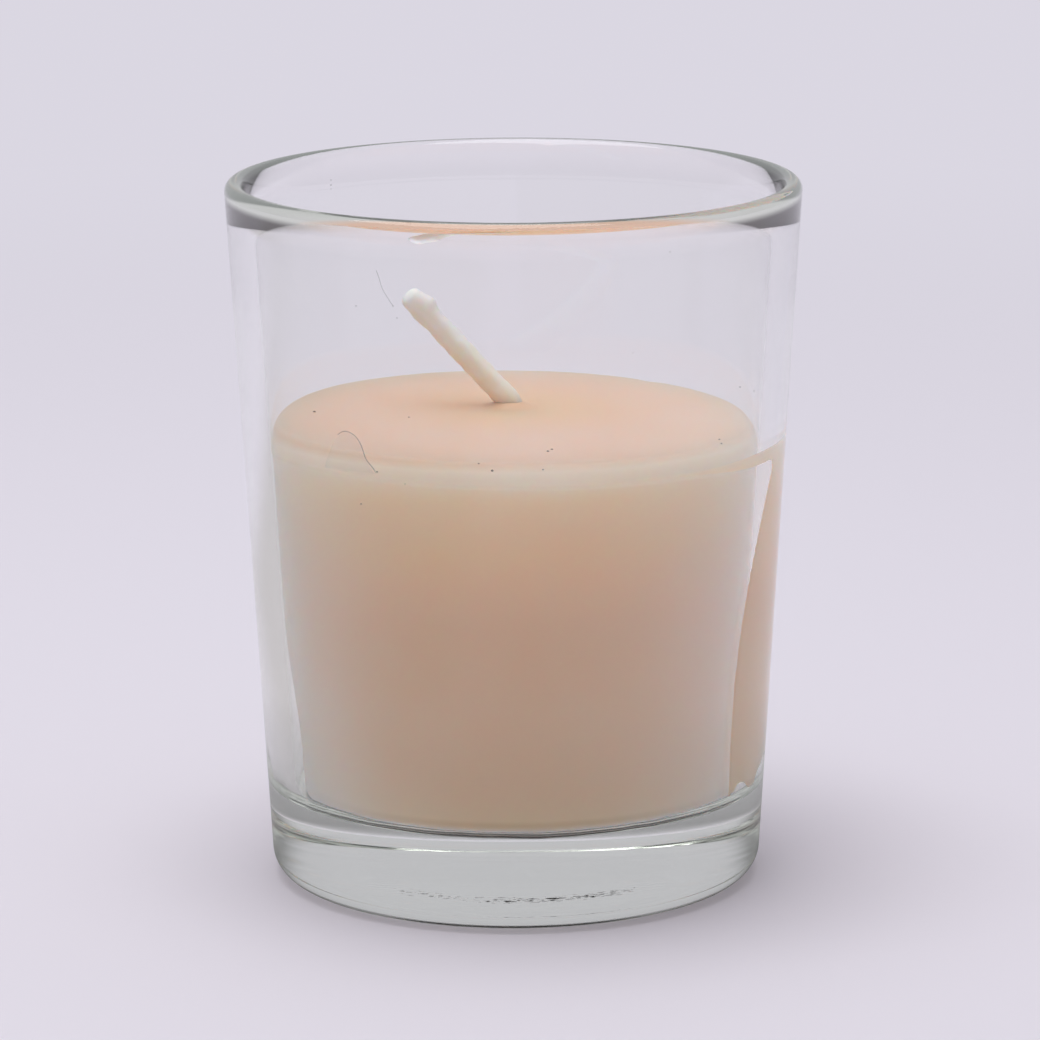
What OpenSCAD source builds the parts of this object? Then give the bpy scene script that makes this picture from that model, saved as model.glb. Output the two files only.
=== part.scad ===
// Scented candle poured into a small pressed-glass cup, not yet lit.
// Millimetres, +Z up. The origin is the middle of the foot, on the table.
// The front is -Y, and the wick leans towards -X.

/* [Glass cup] */
// Outside diameter across the rim
rim_d = 53; // [50:0.5:56]
// Height from the table to the top of the rim
cup_h = 65.4; // [60:0.2:72]
// Outside diameter just above the rounded heel
foot_d = 45.7; // [43:0.1:49]
// Thickness of the side wall
wall_t = 2.5; // [2.2:0.1:3.2]
// Radius of the round along the top of the fire-polished rim
rim_round_r = 0.9; // [0.8:0.1:1]
// Radius of the longer round that leads from the rim down to the inner wall
lip_r = 7.5; // [5:0.5:10]
// Height of the inside floor above the table
floor_h = 8.6; // [6:0.2:12]
// Radius of the rounded heel
heel_r = 2.6; // [1.5:0.1:4]
// Radius of the inside corner between the floor and the wall
corner_r = 1.4; // [0.8:0.1:3]
// Width of the flat ring that the cup stands on
foot_ring_w = 0.8; // [0.6:0.1:2]
// Depth of the flat recess under the foot
foot_recess_h = 1.1; // [0.9:0.1:1.6]
// Radius of both rounds of the step between the ring and the recess
foot_step_r = 0.4; // [0.2:0.05:0.4]

/* [Wax] */
// Height of the flat top of the wax above the table
wax_top_h = 43.4; // [36:0.2:50]
// Radius of the rounded shoulder round the top
shoulder_r = 2; // [1:0.1:3]
// Air gap where the wax has shrunk off the wall
shrink_gap = 0.15; // [0.08:0.01:0.4]
// Height of the band under the shoulder that still touches the glass
contact_band_h = 1.4; // [0.6:0.1:3]
// Angle from the front to the near edge of the stuck patch, at its top
patch_near_top_a = 74.5; // [70:0.5:84]
// Angle from the front to the near edge of the stuck patch, at the floor
patch_near_foot_a = 60.4; // [56:0.2:68]
// Height above the table where the near edge of the patch starts to lean away
patch_lean_h = 17; // [12:1:24]
// Angle from the front to the far edge of the stuck patch
patch_far_a = 128; // [105:1:150]
// Radius of the upper end of the air gap beside the patch
gap_end_r = 2; // [1:0.1:4]
// Height of the little mound where the wax climbs the wick
mound_h = 0.5; // [0.2:0.1:1]
// Width of the mound round the wick, at its foot
mound_w = 1.8; // [1.2:0.1:3]
// Width of the mound round the wick, at its top
mound_lip_w = 0.6; // [0.4:0.05:1]

/* [Wick] */
// Thickness of the waxed wick
wick_d = 2.15; // [1.6:0.05:2.6]
// Distance from the middle of the cup back to the wick
wick_back = 4.2; // [0:0.2:6]
// Lean of the free end from upright
wick_lean_a = 43; // [10:1:60]
// Length of the straight free end past the bend
wick_free_l = 13; // [8:0.5:16]
// Radius of the bend along the middle of the wick
wick_bend_r = 2.6; // [1.8:0.1:4]
// Depth under the top of the wax where the bend starts
wick_bend_depth = 0.9; // [0:0.1:2]
// Thickness that dipping in wax adds to the free end
wick_coat_t = 0.03; // [0.02:0.01:0.1]
// Radius round the edge of the cut end
wick_tip_r = 0.5; // [0.2:0.05:0.7]

/* [Sustainer] */
// Diameter of the metal tab
tab_d = 18; // [12:0.5:20]
// Thickness of the sheet metal
tab_t = 0.3; // [0.2:0.05:0.5]
// Height of the neck that grips the wick, from the top of the tab
neck_h = 5; // [3:0.5:8]
// Width of the sloping foot where the neck is drawn up from the tab
neck_foot_w = 0.8; // [0.4:0.1:1.5]
// Diameter of the adhesive pad under the tab
sticker_d = 15; // [10:0.5:20]
// Thickness of the adhesive pad
sticker_t = 0.8; // [0.4:0.1:1.2]

/* [Hidden] */
$fn = 96;

// The outer wall is the straight tangent from the heel's round to the rim's round
heel_c = [foot_d / 2 - heel_r, heel_r];
rim_c = [rim_d / 2 - rim_round_r, cup_h - rim_round_r];
span = rim_c - heel_c;
wall_out = atan2(span[1], span[0]) - acos((heel_r - rim_round_r) / norm(span));
out = [cos(wall_out), sin(wall_out)];
up = [-out[1], out[0]];
wall_head_inner = rim_c - (wall_t - rim_round_r) * out;

// The longer round inside the rim touches the rim's round and the inner wall
lip_a = acos((lip_r - wall_t + rim_round_r) / (lip_r - rim_round_r));
lip_c = rim_c + (lip_r - rim_round_r) * (cos(lip_a) * out - sin(lip_a) * up);

// A point on the inner wall, moved in by a clearance, at a given height
function inner_wall(h, clear) =
    let (start = wall_head_inner - clear * out)
    start + up * (h - start[1]) / up[1];
function inner_wall_r(h) = inner_wall(h, 0)[0];

// Centre of the round in the floor corner, for a body that stands off the wall by a clearance
function corner_c(clear) = inner_wall(floor_h + corner_r, clear + corner_r);

// The step under the foot: a round at the ring's edge, then a round into the recess
foot_ring_inner_r = foot_d / 2 - heel_r - foot_ring_w;
foot_ring_edge_c = [foot_ring_inner_r, foot_step_r];
foot_recess_edge_c = [foot_ring_inner_r - 2 * foot_step_r, foot_recess_h - foot_step_r];

// The shoulder meets the glass at the contact line
contact_h = wax_top_h - shoulder_r;
contact_r = inner_wall_r(contact_h);
band_foot_h = contact_h - contact_band_h;
// A wax section is drawn this far past where it is cut back
spare = 5;

sticker_top_h = floor_h + sticker_t;
tab_top_h = sticker_top_h + tab_t;
neck_d = wick_d + 2 * tab_t;
bend_h = wax_top_h - wick_bend_depth;
bend_end = [wick_bend_r * (cos(wick_lean_a) - 1), wick_bend_r * sin(wick_lean_a)];
free_end_r = wick_d / 2 + wick_coat_t;
// The coat on the free end reaches this far down over the bend
coat_lap = 0.15;

// How far the middle of the wick has bent over to the left at a given height
function wick_x(h) =
    let (rise = max(h - bend_h, 0))
    rise < bend_end[1]
        ? wick_bend_r * (cos(asin(rise / wick_bend_r)) - 1)
        : bend_end[0] - (rise - bend_end[1]) * tan(wick_lean_a);

// Points along an arc, from one angle to another, no more than a step apart
function arc(centre, r, from_a, to_a, step_a = 6) =
    let (steps = ceil(abs(to_a - from_a) / step_a), turn = (to_a - from_a) / steps)
    [for (i = [0:steps]) centre + r * [cos(from_a + turn * i), sin(from_a + turn * i)]];

// Section of the space inside the cup, from the axis out, drawn in by a clearance from the wall
module inside_section(clear, top_h) {
    polygon(concat(
        [[0, floor_h]],
        arc(corner_c(clear), corner_r, -90, wall_out),
        [inner_wall(top_h, clear), [0, top_h]]
    ));
}

// Section of the cup: up the outside, round the rim, down the inside and back under the foot
module cup_section() {
    polygon(concat(
        arc(heel_c, heel_r, -90, wall_out),
        arc(rim_c, rim_round_r, wall_out, wall_out + 180 - lip_a),
        arc(lip_c, lip_r, wall_out + 180 - lip_a, wall_out + 180, 3),
        arc(corner_c(0), corner_r, wall_out, -90),
        [[0, floor_h], [0, foot_recess_h]],
        arc(foot_recess_edge_c, foot_step_r, 90, 0, 15),
        arc(foot_ring_edge_c, foot_step_r, 180, 270, 15)
    ));
}

module glass_cup() {
    color([0.86, 0.89, 0.89], 0.4)
    rotate_extrude()
    cup_section();
}

// Everything under the top of the wax, with the shoulder's round at its edge
module under_top_section() {
    polygon(concat(
        [[0, 0], [contact_r, 0]],
        arc([contact_r - shoulder_r, contact_h], shoulder_r, 0, 90),
        [[0, wax_top_h]]
    ));
}

// Section of the wax as poured, when it fills the cup from wall to wall
module poured_wax_section() {
    intersection() {
        inside_section(0, wax_top_h + spare);
        under_top_section();
    }
}

// Section of the air gap where the wax has shrunk off the wall, drawn on into the glass
module air_gap_section() {
    difference() {
        translate([0, floor_h])
            square([contact_r + spare, band_foot_h - floor_h]);
        inside_section(shrink_gap, wax_top_h);
    }
}

// Where the near edge of the stuck patch runs, in side view, at a given height
function near_edge_y(h) =
    let (share = max(h - patch_lean_h, 0) / (band_foot_h - patch_lean_h))
    let (lean = (patch_near_top_a - patch_near_foot_a) * pow(share, 2))
    -inner_wall_r(h) * cos(patch_near_foot_a + lean);

// Outline of the patch that still sticks, in side view, across the depth and up
module patch_outline() {
    near_foot_y = near_edge_y(floor_h);
    far_top_y = -contact_r * cos(patch_far_a);
    far_foot_y = -inner_wall_r(floor_h) * cos(patch_far_a);
    // The gap beside the patch ends in a rounded corner under the contact band
    edge_rise = 2 * gap_end_r;
    edge_run = near_edge_y(band_foot_h) - near_edge_y(band_foot_h - edge_rise);
    edge_a = atan(edge_run / edge_rise);
    gap_end_h = band_foot_h - gap_end_r * (1 + sin(edge_a));
    gap_end_c = [near_edge_y(gap_end_h) - gap_end_r * cos(edge_a), band_foot_h - gap_end_r];
    edge_steps = 12;
    edge_step_h = (gap_end_h - floor_h) / edge_steps;
    polygon(concat(
        [[near_foot_y, floor_h - spare]],
        [for (i = [0:edge_steps - 1]) [near_edge_y(floor_h + edge_step_h * i), floor_h + edge_step_h * i]],
        arc(gap_end_c, gap_end_r, -edge_a, 90),
        [[gap_end_c[0], wax_top_h], [far_top_y, wax_top_h]],
        [[far_foot_y, floor_h], [far_foot_y, floor_h - spare]]
    ));
}

// The air gap runs all the way round, apart from the patch on the right
module air_gap() {
    difference() {
        rotate_extrude()
            air_gap_section();
        rotate([90, 0, 90])
            linear_extrude(height = rim_d)
            patch_outline();
    }
}

// The mound is drawn down into the wax by its own height, so that the two are one pour
module wick_mound() {
    foot_r = wick_d / 2 + mound_w;
    lip_r = wick_d / 2 + mound_lip_w;
    translate([wick_x(wax_top_h + mound_h), wick_back, wax_top_h])
        rotate_extrude()
        polygon([[0, -mound_h], [foot_r, -mound_h], [foot_r, 0], [lip_r, mound_h], [0, mound_h]]);
}

module wick_rod() {
    translate([0, wick_back, sticker_top_h])
        cylinder(d = wick_d, h = bend_h - sticker_top_h);
    translate([-wick_bend_r, wick_back, bend_h])
        rotate([90, 0, 0])
        rotate_extrude(angle = wick_lean_a)
        translate([wick_bend_r, 0])
        circle(d = wick_d);
    translate([bend_end[0], wick_back, bend_h + bend_end[1]])
        rotate([0, -wick_lean_a, 0])
        translate([0, 0, -coat_lap])
        rotate_extrude()
        free_end_section();
}

// The cut end of the wick has a softened edge
module free_end_section() {
    polygon(concat(
        [[0, 0], [free_end_r, 0]],
        arc([free_end_r - wick_tip_r, wick_free_l + coat_lap - wick_tip_r], wick_tip_r, 0, 90),
        [[0, wick_free_l + coat_lap]]
    ));
}

// Tab and neck without the hole for the wick
module sustainer_blank() {
    translate([0, wick_back, sticker_top_h])
        cylinder(d = tab_d, h = tab_t);
    translate([0, wick_back, tab_top_h])
        cylinder(d = neck_d, h = neck_h);
    translate([0, wick_back, tab_top_h])
        cylinder(d1 = neck_d + 2 * neck_foot_w, d2 = neck_d, h = neck_foot_w);
}

module wax_fill() {
    color([0.88, 0.75, 0.66])
    difference() {
        union() {
            rotate_extrude()
                poured_wax_section();
            wick_mound();
        }
        air_gap();
        wick_rod();
        sustainer_blank();
        translate([0, wick_back, floor_h - spare])
            cylinder(d = sticker_d, h = sticker_t + spare);
    }
}

module wick() {
    color([0.87, 0.81, 0.75])
    wick_rod();
}

module wick_sustainer() {
    color([0.75, 0.76, 0.78])
    difference() {
        sustainer_blank();
        translate([0, wick_back, floor_h])
            cylinder(d = wick_d, h = wax_top_h - floor_h);
    }
}

module wick_sticker() {
    color([0.95, 0.95, 0.93])
    translate([0, wick_back, floor_h])
        cylinder(d = sticker_d, h = sticker_t);
}

glass_cup();
wax_fill();
wick();
wick_sustainer();
wick_sticker();
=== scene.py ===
import math
import random

import bpy
from mathutils import Matrix, Vector, noise


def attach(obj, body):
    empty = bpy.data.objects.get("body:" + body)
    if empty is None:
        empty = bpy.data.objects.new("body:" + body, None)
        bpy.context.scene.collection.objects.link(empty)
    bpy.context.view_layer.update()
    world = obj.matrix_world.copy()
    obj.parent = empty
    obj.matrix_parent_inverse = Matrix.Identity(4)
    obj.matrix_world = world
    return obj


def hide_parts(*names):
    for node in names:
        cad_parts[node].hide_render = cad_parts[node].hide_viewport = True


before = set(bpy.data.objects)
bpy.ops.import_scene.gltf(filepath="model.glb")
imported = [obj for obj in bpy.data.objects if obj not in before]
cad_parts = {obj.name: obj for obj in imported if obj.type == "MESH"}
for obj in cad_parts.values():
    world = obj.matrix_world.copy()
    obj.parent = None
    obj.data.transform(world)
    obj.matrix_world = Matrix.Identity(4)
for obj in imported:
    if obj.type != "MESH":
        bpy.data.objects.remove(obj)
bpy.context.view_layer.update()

# Sizes of the real candle, in millimetres. The front is -Y and +Z is up.
MM = 0.001
RIM_D = 53.0
CUP_H = 65.4
FOOT_D = 45.7
WALL_T = 2.5
FLOOR_H = 8.6
HEEL_R = 2.6
CORNER_R = 1.4
FOOT_RING_W = 0.8
FOOT_RECESS_H = 1.1
FOOT_STEP_R = 0.4

WAX_TOP_H = 43.4
SHOULDER_R = 2.0
SHRINK_GAP = 0.15
CONTACT_BAND_H = 1.4
STUCK_DEPTH = 0.05
FRONT_TOUCH = 0.012
LEFT_OFF = 0.03
LOW_LEFT_GAP = 0.75
MOUND_H = 0.5
MOUND_W = 1.8

WICK_D = 2.15
WICK_BACK = 4.2
WICK_LEAN = math.radians(43)
WICK_FREE_L = 12.9
WICK_BEND_R = 2.6
WICK_BEND_DEPTH = 0.9

TAB_D = 18.0
TAB_T = 0.3
NECK_H = 5.0
NECK_FOOT_W = 0.8
PAD_D = 15.0
PAD_T = 0.8

# Where the outer wall runs: straight from the heel's round to the rim's round
RIM_ROUND_R = 0.9
LIP_R = 7.5
HEEL_C = Vector((FOOT_D / 2 - HEEL_R, HEEL_R))
RIM_C = Vector((RIM_D / 2 - RIM_ROUND_R, CUP_H - RIM_ROUND_R))
SPAN = RIM_C - HEEL_C
WALL_OUT = math.atan2(SPAN.y, SPAN.x) - math.acos((HEEL_R - RIM_ROUND_R) / SPAN.length)
OUT = Vector((math.cos(WALL_OUT), math.sin(WALL_OUT)))
UP = Vector((-OUT.y, OUT.x))
# Inside the rim a longer round leads down to the inner wall
LIP_TURN = math.acos((LIP_R - WALL_T + RIM_ROUND_R) / (LIP_R - RIM_ROUND_R))
LIP_C = RIM_C + (LIP_R - RIM_ROUND_R) * (math.cos(LIP_TURN) * OUT - math.sin(LIP_TURN) * UP)
FOOT_RING_INNER_R = FOOT_D / 2 - HEEL_R - FOOT_RING_W
CONTACT_H = WAX_TOP_H - SHOULDER_R
BAND_FOOT_H = CONTACT_H - CONTACT_BAND_H
PAD_TOP_H = FLOOR_H + PAD_T
TAB_TOP_H = PAD_TOP_H + TAB_T


# The camera, fitted to the rim, the sides and the foot of the cup
PHOTO_SIDE_PX = 1040
CAMERA_BACK = 0.4828
CAMERA_SPOT = Vector((0, -CAMERA_BACK, 0.1395))
NEAREST_REACH = 0.40
HALVINGS = 50
CAMERA_PITCH = math.radians(90 - 12.405)
CAMERA_YAW = math.radians(-0.058)
CAMERA_ROLL = math.radians(-0.2346)
CAMERA_LENS = 184.07
SENSOR_W = 36.0


def aim_camera():
    data = bpy.data.cameras.new("Camera")
    data.sensor_width = SENSOR_W
    data.lens = CAMERA_LENS
    data.clip_start = 0.01
    data.clip_end = 20
    camera = bpy.data.objects.new("Camera", data)
    turn = Matrix.Rotation(CAMERA_YAW, 3, "Z") @ Matrix.Rotation(CAMERA_PITCH, 3, "X")
    turn = turn @ Matrix.Rotation(CAMERA_ROLL, 3, "Z")
    camera.rotation_euler = turn.to_euler()
    camera.location = CAMERA_SPOT
    bpy.context.collection.objects.link(camera)
    bpy.context.scene.camera = camera
    return turn


camera_turn = aim_camera()


def photo_ray(px, py):
    """Direction in which the photograph's pixel looks."""
    per_px = SENSOR_W / CAMERA_LENS / PHOTO_SIDE_PX
    half = PHOTO_SIDE_PX / 2
    return (camera_turn @ Vector(((px - half) * per_px, (half - py) * per_px, -1))).normalized()


def spot_on_wall(px, py, wall_r):
    """Where the pixel's ray first meets the round wall, whose radius depends on height."""
    ray = photo_ray(px, py)
    low, high = NEAREST_REACH, CAMERA_BACK
    for _ in range(HALVINGS):
        reach = (low + high) / 2
        spot = (CAMERA_SPOT + reach * ray) / MM
        if spot.xy.length > wall_r(spot.z):
            low = reach
        else:
            high = reach
    return spot


# Mesh helpers: closed rings of points, bridged one to the next


def arc(centre, radius, start, end, steps):
    turn = (end - start) / steps
    return [
        (centre[0] + radius * math.cos(start + turn * i), centre[1] + radius * math.sin(start + turn * i))
        for i in range(steps + 1)
    ]


def between(first, last, steps):
    """Values from first to last, without the last one."""
    return [first + (last - first) * i / steps for i in range(steps)]


def smooth_step(low, high, value):
    """Smooth share of the way from low to high, which may also run downwards."""
    share = min(max((value - low) / (high - low), 0), 1)
    return share * share * (3 - 2 * share)


def add_piece(name, verts, faces, material):
    mesh = bpy.data.meshes.new(name)
    mesh.from_pydata([Vector(v) * MM for v in verts], [], faces)
    mesh.validate()
    mesh.shade_smooth()
    mesh.materials.append(material)
    piece = bpy.data.objects.new(name, mesh)
    bpy.context.collection.objects.link(piece)
    return piece


def skin(name, rings, material, loop=False):
    """Bridges rings of points. A ring of one point closes the skin like a pole."""
    verts = []
    starts = []
    for ring in rings:
        starts.append(len(verts))
        verts.extend(ring)
    faces = []
    pairs = list(zip(range(len(rings)), range(1, len(rings))))
    if loop:
        pairs.append((len(rings) - 1, 0))
    for low, high in pairs:
        count = max(len(rings[low]), len(rings[high]))
        for k in range(count):
            after = (k + 1) % count
            if len(rings[low]) == 1:
                faces.append((starts[low], starts[high] + after, starts[high] + k))
            elif len(rings[high]) == 1:
                faces.append((starts[low] + k, starts[low] + after, starts[high]))
            else:
                faces.append((starts[low] + k, starts[low] + after, starts[high] + after, starts[high] + k))
    return add_piece(name, verts, faces, material)


def circle(centre, radius, height, turns):
    """Ring of points round a centre, in millimetres."""
    return [
        (
            centre[0] + radius * math.cos(math.tau * k / turns),
            centre[1] + radius * math.sin(math.tau * k / turns),
            height,
        )
        for k in range(turns)
    ]


# Materials


def new_group(name, inputs, outputs):
    group = bpy.data.node_groups.new(name, "ShaderNodeTree")
    for label, kind, value in inputs:
        socket = group.interface.new_socket(label, in_out="INPUT", socket_type=kind)
        socket.default_value = value
    for label, kind in outputs:
        group.interface.new_socket(label, in_out="OUTPUT", socket_type=kind)
    start = group.nodes.new("NodeGroupInput")
    end = group.nodes.new("NodeGroupOutput")
    return group, start, end


WHITE = (1, 1, 1, 1)


def feed(links, socket, value):
    """Joins another node's output to a socket, or sets a plain value there."""
    if isinstance(value, bpy.types.NodeSocket):
        links.new(value, socket)
    else:
        socket.default_value = value


def combine(nodes, links, operation, first, second):
    node = nodes.new("ShaderNodeMath")
    node.operation = operation
    feed(links, node.inputs[0], first)
    feed(links, node.inputs[1], second)
    return node.outputs[0]


def share_between(nodes, links, value, low, high, at_low=0.0, at_high=1.0, smooth=False):
    """A value's share of the way from low to high, or its place between two other values."""
    node = nodes.new("ShaderNodeMapRange")
    if smooth:
        node.interpolation_type = "SMOOTHSTEP"
    for label, number in (("From Min", low), ("From Max", high), ("To Min", at_low), ("To Max", at_high)):
        node.inputs[label].default_value = number
    links.new(value, node.inputs["Value"])
    return node.outputs["Result"]


def mix_colours(nodes, links, share, first, second, blend="MIX"):
    node = nodes.new("ShaderNodeMix")
    node.data_type = "RGBA"
    node.blend_type = blend
    for number, value in ((0, share), (6, first), (7, second)):
        feed(links, node.inputs[number], value)
    return node.outputs[2]


def mix_shaders(nodes, links, share, first, second):
    node = nodes.new("ShaderNodeMixShader")
    feed(links, node.inputs[0], share)
    links.new(first.outputs[0], node.inputs[1])
    links.new(second.outputs[0], node.inputs[2])
    return node


def object_place(nodes, links):
    """Where a point lies on its object, whole and split into its three measures."""
    place = nodes.new("ShaderNodeTexCoord")
    split = nodes.new("ShaderNodeSeparateXYZ")
    links.new(place.outputs["Object"], split.inputs[0])
    return place.outputs["Object"], split.outputs


def noise_of_size(nodes, links, size_mm, detail):
    place = nodes.new("ShaderNodeTexCoord")
    node = nodes.new("ShaderNodeTexNoise")
    node.inputs["Detail"].default_value = detail
    links.new(place.outputs["Object"], node.inputs["Vector"])
    links.new(combine(nodes, links, "DIVIDE", 1 / MM, size_mm), node.inputs["Scale"])
    return node


def tone_ramp(nodes, links, share, tones):
    """Colour that changes with a share, by its tones from the first place to the last."""
    ramp = nodes.new("ShaderNodeValToRGB")
    stops = ramp.color_ramp.elements
    stops[0].position, stops[0].color = tones[0]
    stops[1].position, stops[1].color = tones[-1]
    for position, colour in tones[1:-1]:
        stops.new(position).color = colour
    links.new(share, ramp.inputs[0])
    return ramp.outputs["Color"]


def tone_along(nodes, links, place, tones_mm):
    """Colour that changes along one direction, by its tones at places in millimetres."""
    first, last = tones_mm[0][0], tones_mm[-1][0]
    share = share_between(nodes, links, place, first * MM, last * MM)
    tones = [((spot - first) / (last - first), tone) for spot, tone in tones_mm]
    return tone_ramp(nodes, links, share, tones)


def soft_mottle_group():
    """Cloudy difference between two colours, at a size in millimetres."""
    group, start, end = new_group(
        "soft mottle",
        [
            ("Colour", "NodeSocketColor", WHITE),
            ("Cloud Colour", "NodeSocketColor", WHITE),
            ("Cloud Size mm", "NodeSocketFloat", 5.0),
        ],
        [("Colour", "NodeSocketColor")],
    )
    nodes, links = group.nodes, group.links
    cloud = noise_of_size(nodes, links, start.outputs["Cloud Size mm"], 3)
    spread = share_between(nodes, links, cloud.outputs["Fac"], 0.35, 0.65)
    mixed = mix_colours(nodes, links, spread, start.outputs["Colour"], start.outputs["Cloud Colour"])
    links.new(mixed, end.inputs["Colour"])
    return group


def fine_grain_group():
    """Height of a fine even grain, at a size in millimetres."""
    group, start, end = new_group(
        "fine grain",
        [("Grain Size mm", "NodeSocketFloat", 0.5)],
        [("Height", "NodeSocketFloat")],
    )
    nodes, links = group.nodes, group.links
    grain = noise_of_size(nodes, links, start.outputs["Grain Size mm"], 4)
    grain.inputs["Roughness"].default_value = 0.6
    links.new(grain.outputs["Fac"], end.inputs["Height"])
    return group


soft_mottle = soft_mottle_group()
fine_grain = fine_grain_group()


def new_material(name):
    material = bpy.data.materials.new(name)
    material.use_nodes = True
    nodes = material.node_tree.nodes
    return material, nodes, material.node_tree.links, nodes["Principled BSDF"]


def place_group(nodes, group, values):
    node = nodes.new("ShaderNodeGroup")
    node.node_tree = group
    for label, value in values.items():
        node.inputs[label].default_value = value
    return node


def add_grain(nodes, links, shader, size_mm, distance_mm, strength):
    grain = place_group(nodes, fine_grain, {"Grain Size mm": size_mm})
    bump = nodes.new("ShaderNodeBump")
    bump.inputs["Distance"].default_value = distance_mm * MM
    bump.inputs["Strength"].default_value = strength
    links.new(grain.outputs["Height"], bump.inputs["Height"])
    links.new(bump.outputs["Normal"], shader.inputs["Normal"])


GLASS_IOR = 1.52
# What one face of the glass lets through of the light for what is inside
GLASS_PASSES = 0.957
# Light that the wall has thrown back more often than this comes out in a set tone
TRAPPED_AFTER = 5.5
# Its tones: across the foot from left to right, through the wall from front to back, and up at the rim
FOOT_TRAPPED = [
    (-26, (0.10, 0.11, 0.11, 1)),
    (-20, (0.24, 0.25, 0.24, 1)),
    (-15, (0.60, 0.60, 0.61, 1)),
    (15, (0.60, 0.60, 0.61, 1)),
    (20, (0.22, 0.23, 0.22, 1)),
    (26, (0.12, 0.13, 0.12, 1)),
]
WALL_TRAPPED = [
    (-26, (0.76, 0.50, 0.40, 1)),
    (-14, (0.74, 0.51, 0.42, 1)),
    (-7, (0.64, 0.63, 0.65, 1)),
    (12, (0.60, 0.60, 0.61, 1)),
    (15.5, (0.27, 0.28, 0.28, 1)),
    (22, (0.26, 0.28, 0.27, 1)),
]
RIM_TRAPPED = [
    (51, (1.0, 1.0, 1.0, 1)),
    (54, (0.24, 0.225, 0.24, 1)),
    (60, (0.15, 0.14, 0.15, 1)),
]


def clear_glass():
    material, nodes, links, shader = new_material("clear pressed glass")
    shader.inputs["Base Color"].default_value = WHITE
    shader.inputs["Roughness"].default_value = 0
    shader.inputs["IOR"].default_value = GLASS_IOR
    shader.inputs["Transmission Weight"].default_value = 1
    # Light for what is inside passes straight through, less what the glass throws back at a slant
    straight = nodes.new("ShaderNodeBsdfTransparent")
    slant = nodes.new("ShaderNodeLayerWeight")
    slant.inputs["Blend"].default_value = 0.5
    steep = combine(nodes, links, "POWER", slant.outputs["Facing"], 5)
    passed = share_between(nodes, links, steep, 0, 1, GLASS_PASSES, 0)
    links.new(passed, straight.inputs["Color"])
    path = nodes.new("ShaderNodeLightPath").outputs
    for_inside = combine(nodes, links, "MAXIMUM", path["Is Shadow Ray"], path["Is Diffuse Ray"])
    trapped = combine(nodes, links, "GREATER_THAN", path["Ray Depth"], TRAPPED_AFTER)
    split = object_place(nodes, links)[1]
    foot_tone = tone_along(nodes, links, split["X"], FOOT_TRAPPED)
    wall_tone = tone_along(nodes, links, split["Y"], WALL_TRAPPED)
    rim_tone = tone_along(nodes, links, split["Z"], RIM_TRAPPED)
    above = combine(nodes, links, "GREATER_THAN", split["Z"], (FLOOR_H + CORNER_R) * MM)
    tone = mix_colours(nodes, links, above, foot_tone, wall_tone)
    trapped_light = nodes.new("ShaderNodeEmission")
    links.new(mix_colours(nodes, links, 1, tone, rim_tone, "MULTIPLY"), trapped_light.inputs["Color"])
    body = mix_shaders(nodes, links, trapped, shader, trapped_light)
    mix = mix_shaders(nodes, links, for_inside, body, straight)
    tint = nodes.new("ShaderNodeVolumeAbsorption")
    tint.inputs["Color"].default_value = (0.643, 0.716, 0.595, 1)
    tint.inputs["Density"].default_value = 8
    end = nodes["Material Output"]
    links.new(mix.outputs[0], end.inputs["Surface"])
    links.new(tint.outputs[0], end.inputs["Volume"])
    return material


# Tones of the wax, from its foot up to its flat top, with light and shade painted in: the upper side is
# painted paler, as light from above glows through it, and the foot is painted darker, as in shade
WAX_PAINTED_LIGHT_TONES = [
    (0.205, (0.60, 0.40, 0.21, 1)),
    (0.228, (0.62, 0.42, 0.23, 1)),
    (0.238, (0.76, 0.55, 0.355, 1)),
    (0.42, (0.80, 0.56, 0.345, 1)),
    (0.66, (0.84, 0.58, 0.355, 1)),
    (0.81, (0.95, 0.69, 0.42, 1)),
    (0.92, (0.99, 0.725, 0.53, 1)),
    (0.955, (1.0, 0.78, 0.65, 1)),
    (0.985, (1.0, 0.775, 0.66, 1)),
    (1.00, (0.77, 0.52, 0.395, 1)),
]
# Pale tone of the painted sheen on the wax's side
PAINTED_SHEEN_TONE = (0.96, 0.835, 0.75, 1)
WARM_MIDDLE = (0.80, 0.51, 0.32, 1)
# Tones of the wick's free end: browner where it comes out of the wax, and paler towards the cut end
WICK_TONES_L = 10.0
WICK_TONES = [
    (0, (0.92, 0.74, 0.60, 1)),
    (0.22, (0.98, 0.90, 0.81, 1)),
    (0.6, (0.98, 0.94, 0.89, 1)),
    (1, (0.98, 0.97, 0.96, 1)),
]


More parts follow.
